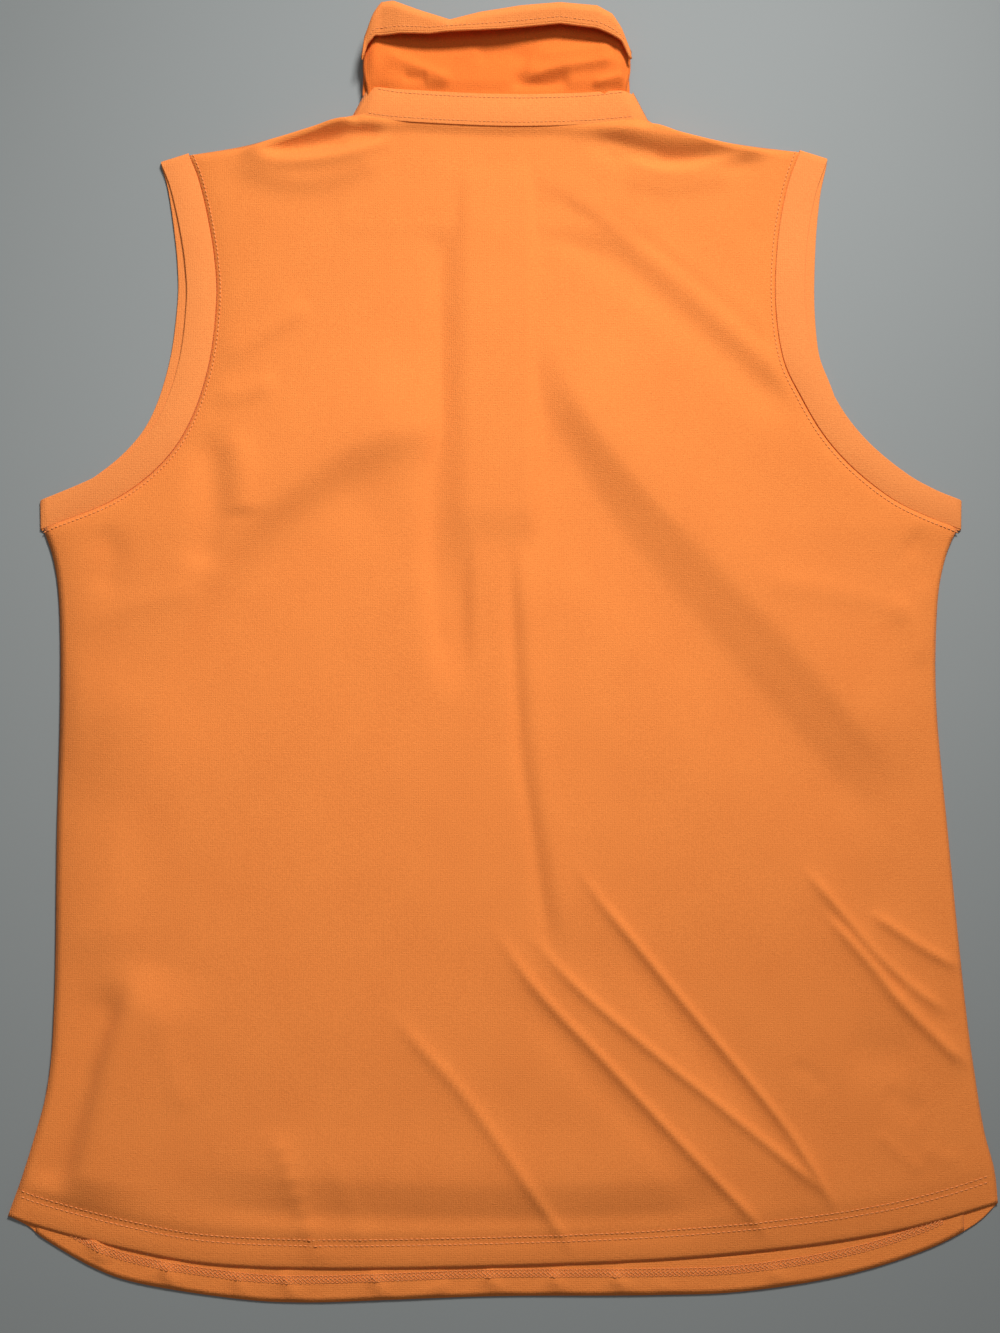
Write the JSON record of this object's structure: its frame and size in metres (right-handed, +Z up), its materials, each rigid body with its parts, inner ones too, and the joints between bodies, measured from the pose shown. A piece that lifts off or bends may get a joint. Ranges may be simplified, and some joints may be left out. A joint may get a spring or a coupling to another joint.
{
  "type": "sleeveless knit shirt",
  "caption": "Sleeveless knit polo shirt lying flat, face down, with folded armhole bands, turned-up collar and half placket.",
  "frame": {"origin": "on the table, under the middle of the shirt's outline", "axes": "+X to the wearer's right, +Y from the hem to the collar, +Z up from the table; the shirt lies face down"},
  "size_m": [0.556, 0.756, 0.0256],
  "materials": {
    "shell_knit": "matte fine polyester knit, blaze orange",
    "band_knit": "matte self-fabric band, pressed",
    "collar_knit": "matte fine knit over interlining",
    "sewing_thread": "spun polyester thread, slight sheen",
    "interlining": "white non-woven interlining",
    "label_satin": "white satin label, blank",
    "button_resin": "dyed polyester resin, soft gloss"
  },
  "bodies": {
    "shirt": {"back_panel": "shell_knit", "front_panel": "shell_knit", "left_side_seam": "shell_knit", "right_side_seam": "shell_knit", "left_shoulder_seam": "shell_knit", "right_shoulder_seam": "shell_knit", "left_armhole_band": "band_knit", "right_armhole_band": "band_knit", "left_armhole_topstitch": "sewing_thread", "right_armhole_topstitch": "sewing_thread", "front_hem": "shell_knit", "back_hem": "shell_knit", "back_hem_stitch_lower": "sewing_thread", "back_hem_stitch_upper": "sewing_thread", "front_hem_coverstitch": "sewing_thread", "placket_top": "shell_knit", "placket_interlining": "interlining", "placket_under": "shell_knit", "left_placket_seam": "shell_knit", "right_placket_seam": "shell_knit", "placket_box_stitch": "sewing_thread", "collar_band_outer": "collar_knit", "collar_band_inner": "collar_knit", "collar_band_interlining": "interlining", "collar_band_topstitch": "sewing_thread", "collar_point_left": "collar_knit", "collar_point_right": "collar_knit", "buttonhole_stitch_1": "sewing_thread", "buttonhole_stitch_2": "sewing_thread", "buttonhole_stitch_3": "sewing_thread", "buttonhole_stitch_4": "sewing_thread", "back_neck_tape": "band_knit", "neck_label": "label_satin", "size_tab": "label_satin", "care_label": "label_satin"},
    "collar_leaf": {"under_collar": "collar_knit", "collar_interlining": "interlining", "upper_collar": "collar_knit", "collar_edge_topstitch": "sewing_thread"},
    "button_a": {"button_1": "button_resin", "button_thread_1": "sewing_thread"},
    "button_b": {"button_2": "button_resin", "button_thread_2": "sewing_thread"},
    "button_c": {"button_3": "button_resin", "button_thread_3": "sewing_thread"},
    "button_d": {"button_4": "button_resin", "button_thread_4": "sewing_thread"}
  },
  "joints": [
    {"name": "collar_leaf_fold", "type": "hinge", "parent": "shirt", "child": "collar_leaf", "pos_m": [0, 0.3293, 0.0127], "axis": [1, 0, 0], "range_deg": [0, 155]},
    {"name": "button_1_tilt", "type": "hinge", "parent": "shirt", "child": "button_a", "pos_m": [0, 0.253, 0.0051], "axis": [0, 1, 0], "range_deg": [-6, 6]},
    {"name": "button_2_tilt", "type": "hinge", "parent": "shirt", "child": "button_b", "pos_m": [0, 0.215, 0.0051], "axis": [0, 1, 0], "range_deg": [-6, 6]},
    {"name": "button_3_tilt", "type": "hinge", "parent": "shirt", "child": "button_c", "pos_m": [0, 0.165, 0.0051], "axis": [0, 1, 0], "range_deg": [-6, 6]},
    {"name": "button_4_tilt", "type": "hinge", "parent": "shirt", "child": "button_d", "pos_m": [0, 0.115, 0.0051], "axis": [0, 1, 0], "range_deg": [-6, 6]}
  ]
}
